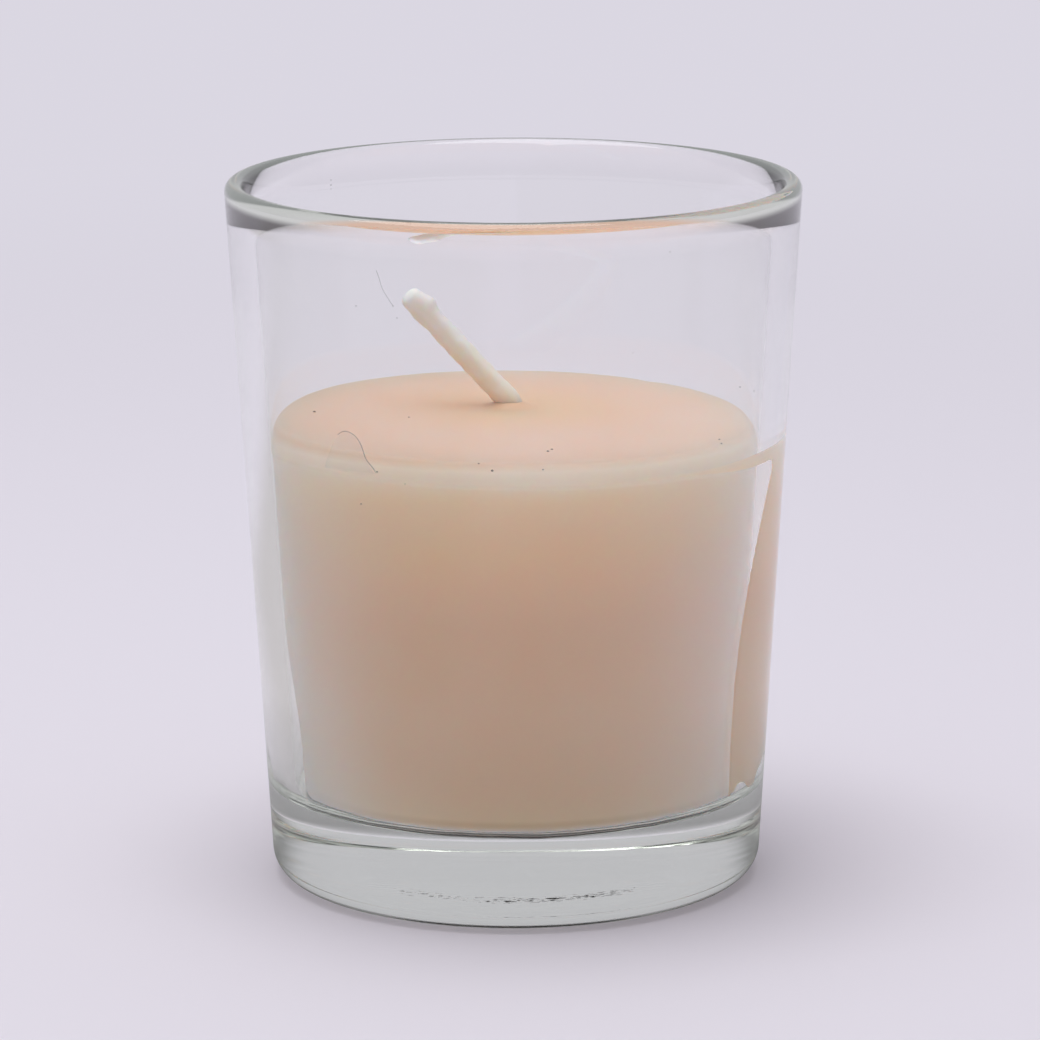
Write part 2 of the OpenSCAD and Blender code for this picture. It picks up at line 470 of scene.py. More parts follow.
def candle_wax():
    material, nodes, links, shader = new_material("peach candle wax")
    place, split = object_place(nodes, links)
    # The colour by height is painted light and shade: paler up the side, darker at the foot
    share = combine(nodes, links, "DIVIDE", split["Z"], WAX_TOP_H * MM)
    tones = tone_ramp(nodes, links, share, WAX_PAINTED_LIGHT_TONES)
    paler = mix_colours(nodes, links, 1, tones, (1.0, 1.03, 1.06, 1), "MULTIPLY")
    mottle = place_group(nodes, soft_mottle, {"Cloud Size mm": 6.0})
    links.new(tones, mottle.inputs["Colour"])
    links.new(paler, mottle.inputs["Cloud Colour"])
    # The middle of the top, round the wick, is a little warmer
    distance = nodes.new("ShaderNodeVectorMath")
    distance.operation = "DISTANCE"
    distance.inputs[1].default_value = Vector((0, WICK_BACK, WAX_TOP_H)) * MM
    links.new(place, distance.inputs[0])
    near = share_between(nodes, links, distance.outputs["Value"], 16 * MM, 2 * MM, smooth=True)
    warm = mix_colours(nodes, links, near, mottle.outputs["Colour"], WARM_MIDDLE)
    # Painted sheen: the side is painted paler the more it is seen at a slant
    slant = nodes.new("ShaderNodeLayerWeight")
    slant.inputs["Blend"].default_value = 0.5
    painted_sheen = share_between(nodes, links, slant.outputs["Facing"], 0, 0.75, at_high=0.95)
    side = share_between(nodes, links, share, 0.98, 0.95)
    amount = combine(nodes, links, "MULTIPLY", painted_sheen, side)
    links.new(mix_colours(nodes, links, amount, warm, PAINTED_SHEEN_TONE), shader.inputs["Base Color"])
    # Right beside the wick the light doesn't go deep
    depth = share_between(nodes, links, distance.outputs["Value"], 1.6 * MM, 4.0 * MM)
    links.new(depth, shader.inputs["Subsurface Weight"])
    shader.inputs["Roughness"].default_value = 0.5
    shader.inputs["IOR"].default_value = 1.44
    shader.inputs["Subsurface Radius"].default_value = (1.0, 0.6, 0.42)
    shader.inputs["Subsurface Scale"].default_value = 16 * MM
    add_grain(nodes, links, shader, 0.6, 0.02, 0.4)
    return material


def waxed_braid():
    material, nodes, links, shader = new_material("waxed cotton braid")
    height = object_place(nodes, links)[1]["Z"]
    share = share_between(nodes, links, height, WAX_TOP_H * MM, (WAX_TOP_H + WICK_TONES_L) * MM)
    tones = tone_ramp(nodes, links, share, WICK_TONES)
    darker = mix_colours(nodes, links, 1, tones, (0.97, 0.94, 0.92, 1), "MULTIPLY")
    mottle = place_group(nodes, soft_mottle, {"Cloud Size mm": 1.6})
    links.new(tones, mottle.inputs["Colour"])
    links.new(darker, mottle.inputs["Cloud Colour"])
    links.new(mottle.outputs["Colour"], shader.inputs["Base Color"])
    shader.inputs["Roughness"].default_value = 0.5
    shader.inputs["IOR"].default_value = 1.44
    shader.inputs["Subsurface Weight"].default_value = 1
    shader.inputs["Subsurface Radius"].default_value = (1.0, 0.7, 0.5)
    shader.inputs["Subsurface Scale"].default_value = 1.2 * MM
    add_grain(nodes, links, shader, 0.25, 0.03, 0.5)
    return material


def tinned_steel():
    material, nodes, links, shader = new_material("tinned sheet steel")
    mottle = place_group(nodes, soft_mottle, {
        "Colour": (0.60, 0.61, 0.63, 1),
        "Cloud Colour": (0.52, 0.53, 0.55, 1),
        "Cloud Size mm": 2.5,
    })
    links.new(mottle.outputs["Colour"], shader.inputs["Base Color"])
    shader.inputs["Metallic"].default_value = 1
    shader.inputs["Roughness"].default_value = 0.35
    add_grain(nodes, links, shader, 0.3, 0.01, 0.3)
    return material


def foam_pad():
    material, nodes, links, shader = new_material("white foam pad")
    mottle = place_group(nodes, soft_mottle, {
        "Colour": (0.84, 0.84, 0.81, 1),
        "Cloud Colour": (0.80, 0.80, 0.76, 1),
        "Cloud Size mm": 1.2,
    })
    links.new(mottle.outputs["Colour"], shader.inputs["Base Color"])
    shader.inputs["Roughness"].default_value = 0.85
    add_grain(nodes, links, shader, 0.35, 0.05, 0.6)
    return material


glass = clear_glass()
wax = candle_wax()
braid = waxed_braid()
steel = tinned_steel()
foam = foam_pad()


# The glass cup, one closed skin from the inside floor over the rim to the hollow under the foot


def bore(height, clear=0.0):
    """Radius of the inner wall at a height, drawn in by a clearance."""
    start = RIM_C - (WALL_T - RIM_ROUND_R + clear) * OUT
    return start.x + UP.x * (height - start.y) / UP.y


def outer_wall(height):
    start = RIM_C + RIM_ROUND_R * OUT
    return start.x + UP.x * (height - start.y) / UP.y


def corner_centre(clear):
    height = FLOOR_H + CORNER_R
    return (bore(height, clear + CORNER_R), height)


STIPPLE_FROM_R = 7.4
STIPPLE_TO_R = 12.0
STIPPLE_H = 0.05
GLASS_TURNS = 384


def foot_recess():
    """From the flat ring that the cup stands on, up a rounded step to the recess under the foot."""
    step_r = FOOT_STEP_R
    ring_edge = arc((FOOT_RING_INNER_R, step_r), step_r, -math.pi / 2, -math.pi, 6)
    wall_x = FOOT_RING_INNER_R - step_r
    recess_edge = arc((wall_x - step_r, FOOT_RECESS_H - step_r), step_r, 0, math.pi / 2, 6)
    flat = between(wall_x - step_r, STIPPLE_TO_R, 10)[1:]
    flat += between(STIPPLE_TO_R, STIPPLE_FROM_R, 28)
    flat += between(STIPPLE_FROM_R, 0.5, 10)
    return ring_edge + recess_edge + [(r, FOOT_RECESS_H) for r in flat] + [(0, FOOT_RECESS_H)]


def cup_profile():
    """Points across and up, from the middle of the inside floor out and round to the foot."""
    corner = arc(corner_centre(0), CORNER_R, -math.pi / 2, WALL_OUT, 14)
    rim = arc(LIP_C, LIP_R, WALL_OUT + math.pi, WALL_OUT + math.pi - LIP_TURN, 20)
    rim += arc(RIM_C, RIM_ROUND_R, WALL_OUT + math.pi - LIP_TURN, WALL_OUT, 32)[1:]
    heel = arc(HEEL_C, HEEL_R, WALL_OUT, -math.pi / 2, 20)
    inner_floor = [(r, FLOOR_H) for r in between(1.0, corner[0][0], 12)]
    inner = [(bore(h), h) for h in between(corner[-1][1], rim[0][1], 46)][1:]
    outer = [(outer_wall(h), h) for h in between(rim[-1][1], heel[0][1], 50)][1:]
    return [(0, FLOOR_H)] + inner_floor + corner + inner + rim + outer + heel + foot_recess()


# Pressed glass is never quite even: its inside corner and the recess wave a little
CORNER_WAVE_MM = 0.12
CORNER_WAVE_FROM_R = 12
CORNER_WAVE_FULL_R = 17
CORNER_WAVE_TOP_H = FLOOR_H + 5
RECESS_WAVE_MM = 0.06
WAVES_PER_MM = 0.32


def corner_wave(x, y, z):
    """A point of the glass's inside corner, moved outward by the waves of the press."""
    radius = math.hypot(x, y)
    fade = smooth_step(CORNER_WAVE_FROM_R, CORNER_WAVE_FULL_R, radius)
    fade *= smooth_step(CORNER_WAVE_TOP_H, FLOOR_H + 1, z)
    wave = CORNER_WAVE_MM * fade * (0.5 + 0.5 * noise.noise(Vector((x, y, z)) * WAVES_PER_MM))
    out = 1 + wave / radius
    return (x * out, y * out, z - wave * smooth_step(FLOOR_H + CORNER_R, FLOOR_H, z))


def recess_wave(x, y, z):
    """A point of the recess, with the waves that fade out at its edge and at the stipple."""
    fade = smooth_step(STIPPLE_TO_R, STIPPLE_TO_R + 1.5, math.hypot(x, y))
    fade *= smooth_step(FOOT_RING_INNER_R - 1, FOOT_RING_INNER_R - 2.5, math.hypot(x, y))
    return (x, y, z + RECESS_WAVE_MM * fade * noise.noise(Vector((x, y, 9)) * WAVES_PER_MM))


def stipple(rng, depth, x, y, z):
    """A point of the recess, roughened as the front of the mould was."""
    return (x, y, z + depth * (rng.uniform(-0.6, 0.6) + noise.noise(Vector((x * 1.7, y * 1.7, 5)))))


def press_glass():
    rng = random.Random(7)
    rings = []
    for radius, height in cup_profile():
        if radius == 0:
            rings.append([(0, 0, height)])
            continue
        ring = circle((0, 0), radius, height, GLASS_TURNS)
        inside = CORNER_WAVE_FROM_R < radius < outer_wall(height) - 1
        if FLOOR_H <= height < CORNER_WAVE_TOP_H and inside:
            ring = [corner_wave(*point) for point in ring]
        if height == FOOT_RECESS_H:
            ring = [recess_wave(*point) for point in ring]
        if STIPPLE_FROM_R < radius < STIPPLE_TO_R and height < FLOOR_H / 2:
            share = (radius - STIPPLE_FROM_R) / (STIPPLE_TO_R - STIPPLE_FROM_R)
            depth = STIPPLE_H * math.sin(math.pi * share)
            ring = [stipple(rng, depth * smooth_step(0.1, 0.8, -y / radius), x, y, z) for x, y, z in ring]
        rings.append(ring)
    return skin("GlassCup", rings[::-1], glass)


cup = press_glass()
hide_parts("glass_cup")
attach(cup, "root")


# The wax, one closed skin: pocket and channel of the wick's parts, floor, wall, shoulder and top

WAX_TURNS = 400
PATCH_NEAR_TOP_A = 74.5
PATCH_NEAR_FOOT_A = 60.4
PATCH_CURVE_H = 17.0
PATCH_FAR_A = 128.0
GAP_END_R = 1.4
EDGE_BLEND_MM = 0.3
THIN_BAND_H = 0.2
BAND_BY_PATCH_H = 0.7
BAND_THIN_A = 38
BAND_FULL_A = 64
SHOULDER_W = 0.9
# The top isn't quite level: the wax set a little higher on the left
WAX_TILT = 0.014
WAX_RISE = 0.12
LEVEL_BELOW_H = 30.0


def wick_lean_at(height):
    """How far the middle of the wick has gone to the left at a height."""
    rise = max(height - (WAX_TOP_H - WICK_BEND_DEPTH), 0)
    bend_rise = WICK_BEND_R * math.sin(WICK_LEAN)
    if rise < bend_rise:
        return WICK_BEND_R * (math.cos(math.asin(rise / WICK_BEND_R)) - 1)
    return WICK_BEND_R * (math.cos(WICK_LEAN) - 1) - (rise - bend_rise) * math.tan(WICK_LEAN)


def stuck_by(across, back, height):
    """Distance in millimetres past the edge of where the wax sticks to the glass."""
    angle = math.degrees(math.atan2(across, -back))
    share = max(height - PATCH_CURVE_H, 0) / (BAND_FOOT_H - PATCH_CURVE_H)
    near_a = PATCH_NEAR_FOOT_A + (PATCH_NEAR_TOP_A - PATCH_NEAR_FOOT_A) * share ** 2
    per_degree = math.radians(bore(height))
    patch = min(angle - near_a, PATCH_FAR_A - angle) * per_degree
    # Beside the patch the band of contact under the shoulder is tall, and elsewhere it is thin
    full = smooth_step(BAND_THIN_A, BAND_FULL_A, min(angle, 2 * PATCH_FAR_A - angle - BAND_FULL_A))
    band = height - CONTACT_H + THIN_BAND_H + (BAND_BY_PATCH_H - THIN_BAND_H) * full
    blend = max(GAP_END_R - abs(patch - band), 0) / GAP_END_R
    return max(patch, band) + blend * blend * GAP_END_R / 4


def edge_gap(across, back):
    """Gap at the contact line: stuck on the right, just touching in front, a hair off on the left."""
    angle = math.degrees(math.atan2(across, -back))
    stuck = smooth_step(BAND_THIN_A, BAND_FULL_A, min(angle, 2 * PATCH_FAR_A - angle - BAND_FULL_A))
    off = smooth_step(25, 45, -angle)
    return -FRONT_TOUCH + (FRONT_TOUCH + LEFT_OFF) * off - (STUCK_DEPTH - FRONT_TOUCH) * stuck


def wall_gap(across, back, height):
    wet = smooth_step(-EDGE_BLEND_MM, EDGE_BLEND_MM, stuck_by(across, back, height))
    deepest = -STUCK_DEPTH if height < BAND_FOOT_H - 2 else edge_gap(across, back)
    # Low on the left the wax has drawn further off the glass
    angle = math.degrees(math.atan2(across, -back))
    low_left = smooth_step(26, 12, height) * smooth_step(-32, -60, angle) * smooth_step(-150, -110, angle)
    return SHRINK_GAP + LOW_LEFT_GAP * low_left + (deepest - SHRINK_GAP) * wet


def settle(x, y, z):
    """Lifts a point of the wax by the tilt of its top, fading out down the side."""
    share = min(max((z - LEVEL_BELOW_H) / (CONTACT_H - LEVEL_BELOW_H), 0), 1)
    return (x, y, z + (WAX_RISE - WAX_TILT * x) * share)


EDGE_WAVER_MM = 0.16
EDGE_NOTCH_A = 142.0
EDGE_NOTCH_MM = 0.35
# The braid is soaked with wax a little way in, and the wax's foot clears the glass by a hair
WICK_SOAKED_MM = 0.08
FOOT_GAP_MM = 0.02
CLOSER_FROM_H = BAND_FOOT_H - 4
CLOSEST_FROM_H = CONTACT_H - 1.2


def edge_waver(across, back):
    """Slow in-and-out waver of the top's edge, with one small notch at the back right."""
    angle = math.degrees(math.atan2(across, -back))
    waver = EDGE_WAVER_MM * noise.noise(Vector((across * 2.2, back * 2.2, 3.0)))
    notch = EDGE_NOTCH_MM * math.exp(-((angle - EDGE_NOTCH_A) / 3.0) ** 2)
    return waver - notch


def pour_wax():
    wick_at = (0, WICK_BACK)
    lip_at = (wick_lean_at(WAX_TOP_H + MOUND_H), WICK_BACK)
    channel_r = WICK_D / 2 - WICK_SOAKED_MM
    neck_r = WICK_D / 2 + TAB_T
    foot_h = FLOOR_H + FOOT_GAP_MM
    rings = []
    # Up the channel of the wick is drawn from its top down, then the pocket of the tab and pad
    for height in between(WAX_TOP_H + MOUND_H, TAB_TOP_H + NECK_H, 14):
        rings.append(circle((wick_lean_at(height), WICK_BACK), channel_r, height, WAX_TURNS))
    rings.append(circle(wick_at, channel_r, TAB_TOP_H + NECK_H, WAX_TURNS))
    rings.append(circle(wick_at, neck_r, TAB_TOP_H + NECK_H, WAX_TURNS))
    rings.append(circle(wick_at, neck_r, TAB_TOP_H + NECK_FOOT_W, WAX_TURNS))
    rings.append(circle(wick_at, neck_r + NECK_FOOT_W, TAB_TOP_H, WAX_TURNS))
    rings.append(circle(wick_at, TAB_D / 2, TAB_TOP_H, WAX_TURNS))
    rings.append(circle(wick_at, TAB_D / 2, PAD_TOP_H, WAX_TURNS))
    rings.append(circle(wick_at, PAD_D / 2, PAD_TOP_H, WAX_TURNS))
    rings.append(circle(wick_at, PAD_D / 2, foot_h, WAX_TURNS))
    floor_edge_r = corner_centre(SHRINK_GAP)[0]
    for share in between(0, 1, 6)[1:]:
        centre = (0, WICK_BACK * (1 - share))
        radius = PAD_D / 2 + (floor_edge_r - PAD_D / 2) * share
        rings.append(circle(centre, radius, foot_h, WAX_TURNS))
    # Up the side the rings lie closer together where the gap ends
    wall = arc(corner_centre(0), CORNER_R, -math.pi / 2, WALL_OUT, 10)
    heights = between(wall.pop()[1], CLOSER_FROM_H, 60)
    heights += between(CLOSER_FROM_H, CLOSEST_FROM_H, 22)
    heights += between(CLOSEST_FROM_H, CONTACT_H, 14)
    wall += [(bore(h), h) for h in heights]
    contact_r = bore(CONTACT_H)
    for radius, height in wall:
        normal = 1.0
        if height < FLOOR_H + CORNER_R:
            normal = (radius - corner_centre(0)[0]) / CORNER_R
        ring = []
        for x, y, z in circle((0, 0), 1, height, WAX_TURNS):
            gap = wall_gap(x, y, max(height, FLOOR_H + 0.01)) * max(normal, 0)
            ring.append((x * (radius - gap), y * (radius - gap), max(z, foot_h)))
        rings.append(ring)
    for turn in between(0, math.pi / 2, 20) + [math.pi / 2]:
        radius = contact_r - SHOULDER_W * (1 - math.cos(turn))
        height = CONTACT_H + SHOULDER_R * math.sin(turn)
        ring = []
        for x, y, z in circle((0, 0), 1, height, WAX_TURNS):
            reach = radius - edge_gap(x, y) * math.cos(turn) + edge_waver(x, y) * math.sin(turn)
            ring.append((x * reach, y * reach, z))
        rings.append(ring)
    top_r = contact_r - SHOULDER_W
    mound_r = WICK_D / 2 + MOUND_W
    lip_r = WICK_D / 2
    for share in between(0, 1, 36)[1:]:
        centre = (lip_at[0] * share, WICK_BACK * share)
        rings.append(circle(centre, top_r + (mound_r - top_r) * share, WAX_TOP_H, WAX_TURNS))
    for share in between(0, 1, 10):
        rise = MOUND_H * share ** 2
        rings.append(circle(lip_at, mound_r + (lip_r - mound_r) * share, WAX_TOP_H + rise, WAX_TURNS))
    rings = [[settle(x, y, z) for x, y, z in ring] for ring in rings]
    return skin("WaxFill", rings[::-1], wax, loop=True)


poured = pour_wax()
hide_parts("wax_fill")
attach(poured, "root")


# The wick, a waxed braid: up through the wax, bent over at its top and cut off


def wick_path():
    """Points along the middle of the wick, and the direction there, from the foot to the cut end."""
    steps = []
    bend_h = WAX_TOP_H - WICK_BEND_DEPTH
    for height in between(PAD_TOP_H, bend_h, 40):
        steps.append((Vector((0, WICK_BACK, height)), 0.0))
    for i in range(13):
        lean = WICK_LEAN * i / 12
        spot = Vector((WICK_BEND_R * (math.cos(lean) - 1), WICK_BACK, bend_h + WICK_BEND_R * math.sin(lean)))
        steps.append((spot, lean))
    start = steps[-1][0]
    along = Vector((-math.sin(WICK_LEAN), 0, math.cos(WICK_LEAN)))
    for i in range(1, 61):
        steps.append((start + along * WICK_FREE_L * i / 60, WICK_LEAN))
    return steps


WICK_TURNS = 64
WICK_STRAND = 0.035
WICK_LUMP = 0.16
WICK_BEAD = 0.3
WICK_BEAD_BELOW = 1.3
WICK_DOME = 0.75


def lay_wick():
    rings = []
    length = 0.0
    last = None
    spots = [spot for spot, lean in wick_path()]
    total = sum((b - a).length for a, b in zip(spots, spots[1:]))
    for spot, lean in wick_path():
        length += (spot - last).length if last is not None else 0
        last = spot
        side = Vector((math.cos(lean), 0, math.sin(lean)))
        back = Vector((0, 1, 0))
        ring = []
        free = smooth_step(WAX_TOP_H, WAX_TOP_H + 1.5, spot.z)
        for k in range(WICK_TURNS):
            a = math.tau * k / WICK_TURNS
            strands = WICK_STRAND * math.cos(3 * (a + length * 0.9)) * math.cos(3 * (a - length * 0.9))
            lumps = WICK_LUMP * free * noise.noise(Vector((math.cos(a), math.sin(a), length * 0.55)))
            from_bead = (total - length - WICK_BEAD_BELOW) / 0.8
            bead = WICK_BEAD * math.exp(-from_bead ** 2) * max(math.cos(a), 0)
            radius = WICK_D / 2 + strands + lumps + bead
            ring.append(tuple(spot + radius * (side * math.cos(a) + back * math.sin(a))))
        rings.append(ring)
    # The cut end is domed and softened by its wax
    spot, lean = wick_path()[-1]
    along = Vector((-math.sin(lean), 0, math.cos(lean)))
    last_ring = rings[-1]
    for turn in between(0, math.pi / 2, 9)[1:]:
        share = math.cos(turn) ** 0.7
        rise = along * (WICK_DOME * math.sin(turn))
        rings.append([tuple(spot + (Vector(p) - spot) * share + rise) for p in last_ring])
    rings.append([tuple(spot + along * WICK_DOME)])
    rings.insert(0, [(0, WICK_BACK, PAD_TOP_H)])
    return skin("Wick", rings, braid)


wick_piece = lay_wick()
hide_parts("wick")
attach(wick_piece, "root")


# The pressed tab that holds the wick's foot, and the pad that sticks it to the glass

TAB_TURNS = 96


def press_tab():
    at = (0, WICK_BACK)
    bore_r = WICK_D / 2 + 0.01
    neck_r = WICK_D / 2 + TAB_T
    edge = TAB_T / 2
    outline = [(bore_r, PAD_TOP_H), (bore_r, TAB_TOP_H + NECK_H - 0.1), (bore_r + 0.1, TAB_TOP_H + NECK_H)]
    outline += [(neck_r - 0.05, TAB_TOP_H + NECK_H), (neck_r, TAB_TOP_H + NECK_H - 0.05)]
    foot_c = (neck_r + NECK_FOOT_W, TAB_TOP_H + NECK_FOOT_W)
    outline += arc(foot_c, NECK_FOOT_W, math.pi, 1.5 * math.pi, 8)
    outline += arc((TAB_D / 2 - edge, PAD_TOP_H + edge), edge, math.pi / 2, -math.pi / 2, 8)
    rings = [circle(at, r, h, TAB_TURNS) for r, h in outline]
    return skin("WickTab", rings[::-1], steel, loop=True)


def cut_pad():
    at = (0, WICK_BACK)
    edge = 0.15
    outline = arc((PAD_D / 2 - edge, FLOOR_H + edge), edge, -math.pi / 2, 0, 5)
    outline += arc((PAD_D / 2 - edge, PAD_TOP_H - edge), edge, 0, math.pi / 2, 5)
    rings = [[(0, WICK_BACK, FLOOR_H)]]
    rings += [circle(at, r, h, TAB_TURNS) for r, h in outline]
    rings += [[(0, WICK_BACK, PAD_TOP_H)]]
    return skin("StickyPad", rings, foam)


tab = press_tab()
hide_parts("wick_sustainer")
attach(tab, "root")

pad = cut_pad()
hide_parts("wick_sticker")
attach(pad, "root")


# Small marks that the photograph shows: a tongue of wax film on the inner wall, dust and a fibre

FILM_OUTLINE_PX = [
    (324, 466), (328, 452), (334, 438), (343, 430), (353, 434), (360, 444), (364, 455), (368, 464),
    (374, 473), (360, 474), (345, 471),
]
FILM_MIDDLE_PX = (348, 456)
FILM_EDGE_PX = [(336, 434), (343, 430), (353, 434), (360, 444), (365, 458), (372, 467), (376, 474)]
WAX_SPECKS_PX = [
    (313, 410, 0.16), (493, 468, 0.14), (480, 461, 0.09), (547, 449, 0.15), (551, 447, 0.13),
    (409, 415, 0.10), (383, 469, 0.10), (542, 467, 0.09), (712, 437, 0.10), (712, 441, 0.09),
]
GLASS_SPECKS_PX = [
    (361, 504, 0.08), (405, 484, 0.05), (356, 306, 0.06), (393, 306, 0.07), (397, 318, 0.06),
    (387, 323, 0.04), (740, 387, 0.08), (754, 391, 0.07), (633, 353, 0.05), (670, 252, 0.06),
    (331, 180, 0.06), (331, 185, 0.07), (331, 189, 0.05),
]
FIBRE_PX = [(376, 270), (379, 278), (382, 288), (387, 297), (393, 306)]
# How far a line of sight drops on its way through the wall
FALL_IN_WALL_MM = 0.42
FILM_BACK_MM = 0.02
FILM_FRONT_MM = 0.05
FILM_EDGE_MM = 0.09
FILM_EDGE_R = 0.04
FIBRE_R = 0.018
GRAIN_SIDES = 7


def film_material(name, colour, cover):
    """A thin see-through layer of a colour, which covers a share of what is behind it."""
    material, nodes, links, shader = new_material(name)
    mottle = place_group(nodes, soft_mottle, {
        "Colour": colour,
        "Cloud Colour": [0.94 * part for part in colour[:3]] + [1],
        "Cloud Size mm": 1.5,
    })
    links.new(mottle.outputs["Colour"], shader.inputs["Base Color"])
    shader.inputs["Roughness"].default_value = 0.6
    clear = nodes.new("ShaderNodeBsdfTransparent")
    mix = nodes.new("ShaderNodeMixShader")
    mix.inputs[0].default_value = cover
    links.new(clear.outputs[0], mix.inputs[1])
    links.new(shader.outputs[0], mix.inputs[2])
    links.new(mix.outputs[0], nodes["Material Output"].inputs["Surface"])
    return material


def wax_top_at(x, y):
    """Height of the wax's top or shoulder, or nothing where the wax has ended."""
    reach = math.hypot(x, y) - (bore(CONTACT_H) - SHOULDER_W)
    if reach > SHOULDER_W:
        return 0
    drop = SHOULDER_R * (1 - math.sqrt(1 - (max(reach, 0) / SHOULDER_W) ** 2))
    return settle(x, y, WAX_TOP_H - drop)[2]


def spot_on_wax(px, py):
    """Where the pixel's ray comes down on the top of the wax."""
    ray = photo_ray(px, py)
    low = ((WAX_TOP_H + 3) * MM - CAMERA_SPOT.z) / ray.z
    high = (CONTACT_H * MM - CAMERA_SPOT.z) / ray.z
    for _ in range(HALVINGS):
        reach = (low + high) / 2
        spot = (CAMERA_SPOT + reach * ray) / MM
        if spot.z > wax_top_at(spot.x, spot.y):
            low = reach
        else:
            high = reach
    return spot


def through_glass(px, py, clear):
    """Where the pixel's ray, bent by the glass, comes to the inner wall, a clearance inside it."""
    outer = spot_on_wall(px, py, outer_wall)
    height = outer.z - FALL_IN_WALL_MM
    outer_r = outer.xy.length
    turn = math.asin(outer.x / outer_r) - math.asin(outer.x / outer_r / GLASS_IOR)
    turn += math.asin(min(outer.x / bore(height) / GLASS_IOR, 1))
    inner_r = bore(height) - clear
    return (inner_r * math.sin(turn), -inner_r * math.cos(turn), height)


def spread_film():
    """The film is a thin skin on the inner wall, drawn from its middle out to its outline and back."""
    rings = []
    out_and_back = ((FILM_BACK_MM, between(0, 1, 6)[1:] + [1]), (FILM_FRONT_MM, between(1, 0, 6)))
    for clear, shares in out_and_back:
        for share in shares:
            ring = []
            for px, py in FILM_OUTLINE_PX:
                across = FILM_MIDDLE_PX[0] + (px - FILM_MIDDLE_PX[0]) * share
                down = FILM_MIDDLE_PX[1] + (py - FILM_MIDDLE_PX[1]) * share
                ring.append(through_glass(across, down, clear))
            rings.append(ring)
    rings.insert(0, [through_glass(*FILM_MIDDLE_PX, FILM_BACK_MM)])
    rings.append([through_glass(*FILM_MIDDLE_PX, FILM_FRONT_MM)])
    return skin("WaxFilm", rings, film_material("thin wax film", (0.90, 0.88, 0.87, 1), 0.05))


def thread(name, spots, radius, material):
    """A thin round thread through spots, tapered at both ends."""
    rings = [[tuple(spots[0])]]
    for i in range(1, len(spots) - 1):
        along = (Vector(spots[i + 1]) - Vector(spots[i - 1])).normalized()
        side = along.cross(Vector((0, 1, 0))).normalized()
        up = side.cross(along)
        ring = []
        for k in range(8):
            turn = math.tau * k / 8
            ring.append(tuple(Vector(spots[i]) + radius * (math.cos(turn) * side + math.sin(turn) * up)))
        rings.append(ring)
    rings.append([tuple(spots[-1])])
    return skin(name, rings, material)


def smooth_path(points, steps):
    """More points along a bent line of pixels."""
    path = []
    for i in range(len(points) - 1):
        before = points[max(i - 1, 0)]
        after = points[min(i + 2, len(points) - 1)]
        for t in between(0, 1, steps):
            spot = []
            for a, b, c, d in zip(before, points[i], points[i + 1], after):
                bend = (2 * a - 5 * b + 4 * c - d) + t * (3 * (b - c) + d - a)
                spot.append(b + t * ((c - a) + t * bend) / 2)
            path.append(spot)
    return path + [list(points[-1])]


def drop_specks(name, spots, material):
    """Small flat grains, each a little uneven."""
    rng = random.Random(11)
    verts, faces = [], []
    for (x, y, z), radius in spots:
        start = len(verts)
        squash = rng.uniform(0.6, 1.0)
        for level, share in ((-1, 0), (-0.4, 0.9), (0.4, 0.9), (1, 0)):
            height = z + radius * level * 0.8
            for k in range(1 if share == 0 else GRAIN_SIDES):
                turn = math.tau * k / GRAIN_SIDES
                reach = radius * share * rng.uniform(0.8, 1.15)
                verts.append((x + reach * math.cos(turn), y + reach * math.sin(turn) * squash, height))
        low = start + 1
        high = low + GRAIN_SIDES
        for k in range(GRAIN_SIDES):
            after = (k + 1) % GRAIN_SIDES
            faces.append((start, low + after, low + k))
            faces.append((low + k, low + after, high + after, high + k))
            faces.append((high + k, high + after, high + GRAIN_SIDES))
    return add_piece(name, verts, faces, material)


dust = film_material("brown dust", (0.14, 0.09, 0.07, 1), 0.9)
lint = film_material("grey lint", (0.34, 0.33, 0.33, 1), 0.45)
film_edge = film_material("edge of the wax film", (0.36, 0.34, 0.33, 1), 0.35)

film = spread_film()
film_line = thread(
    "WaxFilmEdge",
    [through_glass(px, py, FILM_EDGE_MM) for px, py in smooth_path(FILM_EDGE_PX, 5)],
    FILM_EDGE_R,
    film_edge,
)
wax_specks = drop_specks(
    "WaxSpecks",
    [(spot_on_wax(px, py), r) for px, py, r in WAX_SPECKS_PX],
    dust,
)
for piece in (film, film_line, wax_specks):
    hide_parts("wax_fill")
    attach(piece, "root")

glass_specks = drop_specks(
    "GlassSpecks",
    [(spot_on_wall(px, py, lambda z: outer_wall(z) + 0.05), r) for px, py, r in GLASS_SPECKS_PX],
    lint,
)
fibre = thread(
    "GlassFibre",
    [spot_on_wall(px, py, lambda z: outer_wall(z) + 0.04) for px, py in smooth_path(FIBRE_PX, 5)],
    FIBRE_R,
    lint,
)
for piece in (glass_specks, fibre):
    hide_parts("glass_cup")
    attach(piece, "root")


# Stage and light

FLOOR_COLOUR = (0.80, 0.765, 0.845, 1)
BACKGROUND = (0.705, 0.680, 0.760, 1)
FLOOR_R = 2.5
FLOOR_DROP_MM = 0.02
# In metres: where the table turns into the evenly lit background, seen direct and through the glass
STUDIO_NEAR_R = 0.16
STUDIO_FAR_R = 0.45
EVEN_FROM_Y = 0.10
EVEN_TO_Y = 0.15
# Light on the table as the glass shows it: millimetres from the middle of the foot, and tone
FOOT_SHADE = [
    (18, (0.26, 0.28, 0.26, 1)),
    (23.5, (0.30, 0.32, 0.29, 1)),
    (30, (0.48, 0.50, 0.47, 1)),
    (75, (1.0, 1.0, 1.0, 1)),
]
# How bright the table is to the left and right: place across in millimetres, and light
SIDE_LIGHT = [
    (-60, (0.765, 0.765, 0.70, 1)),
    (-27, (1.0, 1.0, 1.0, 1)),
    (27, (1.0, 1.0, 1.0, 1)),
    (60, (1.0, 0.985, 0.95, 1)),
]


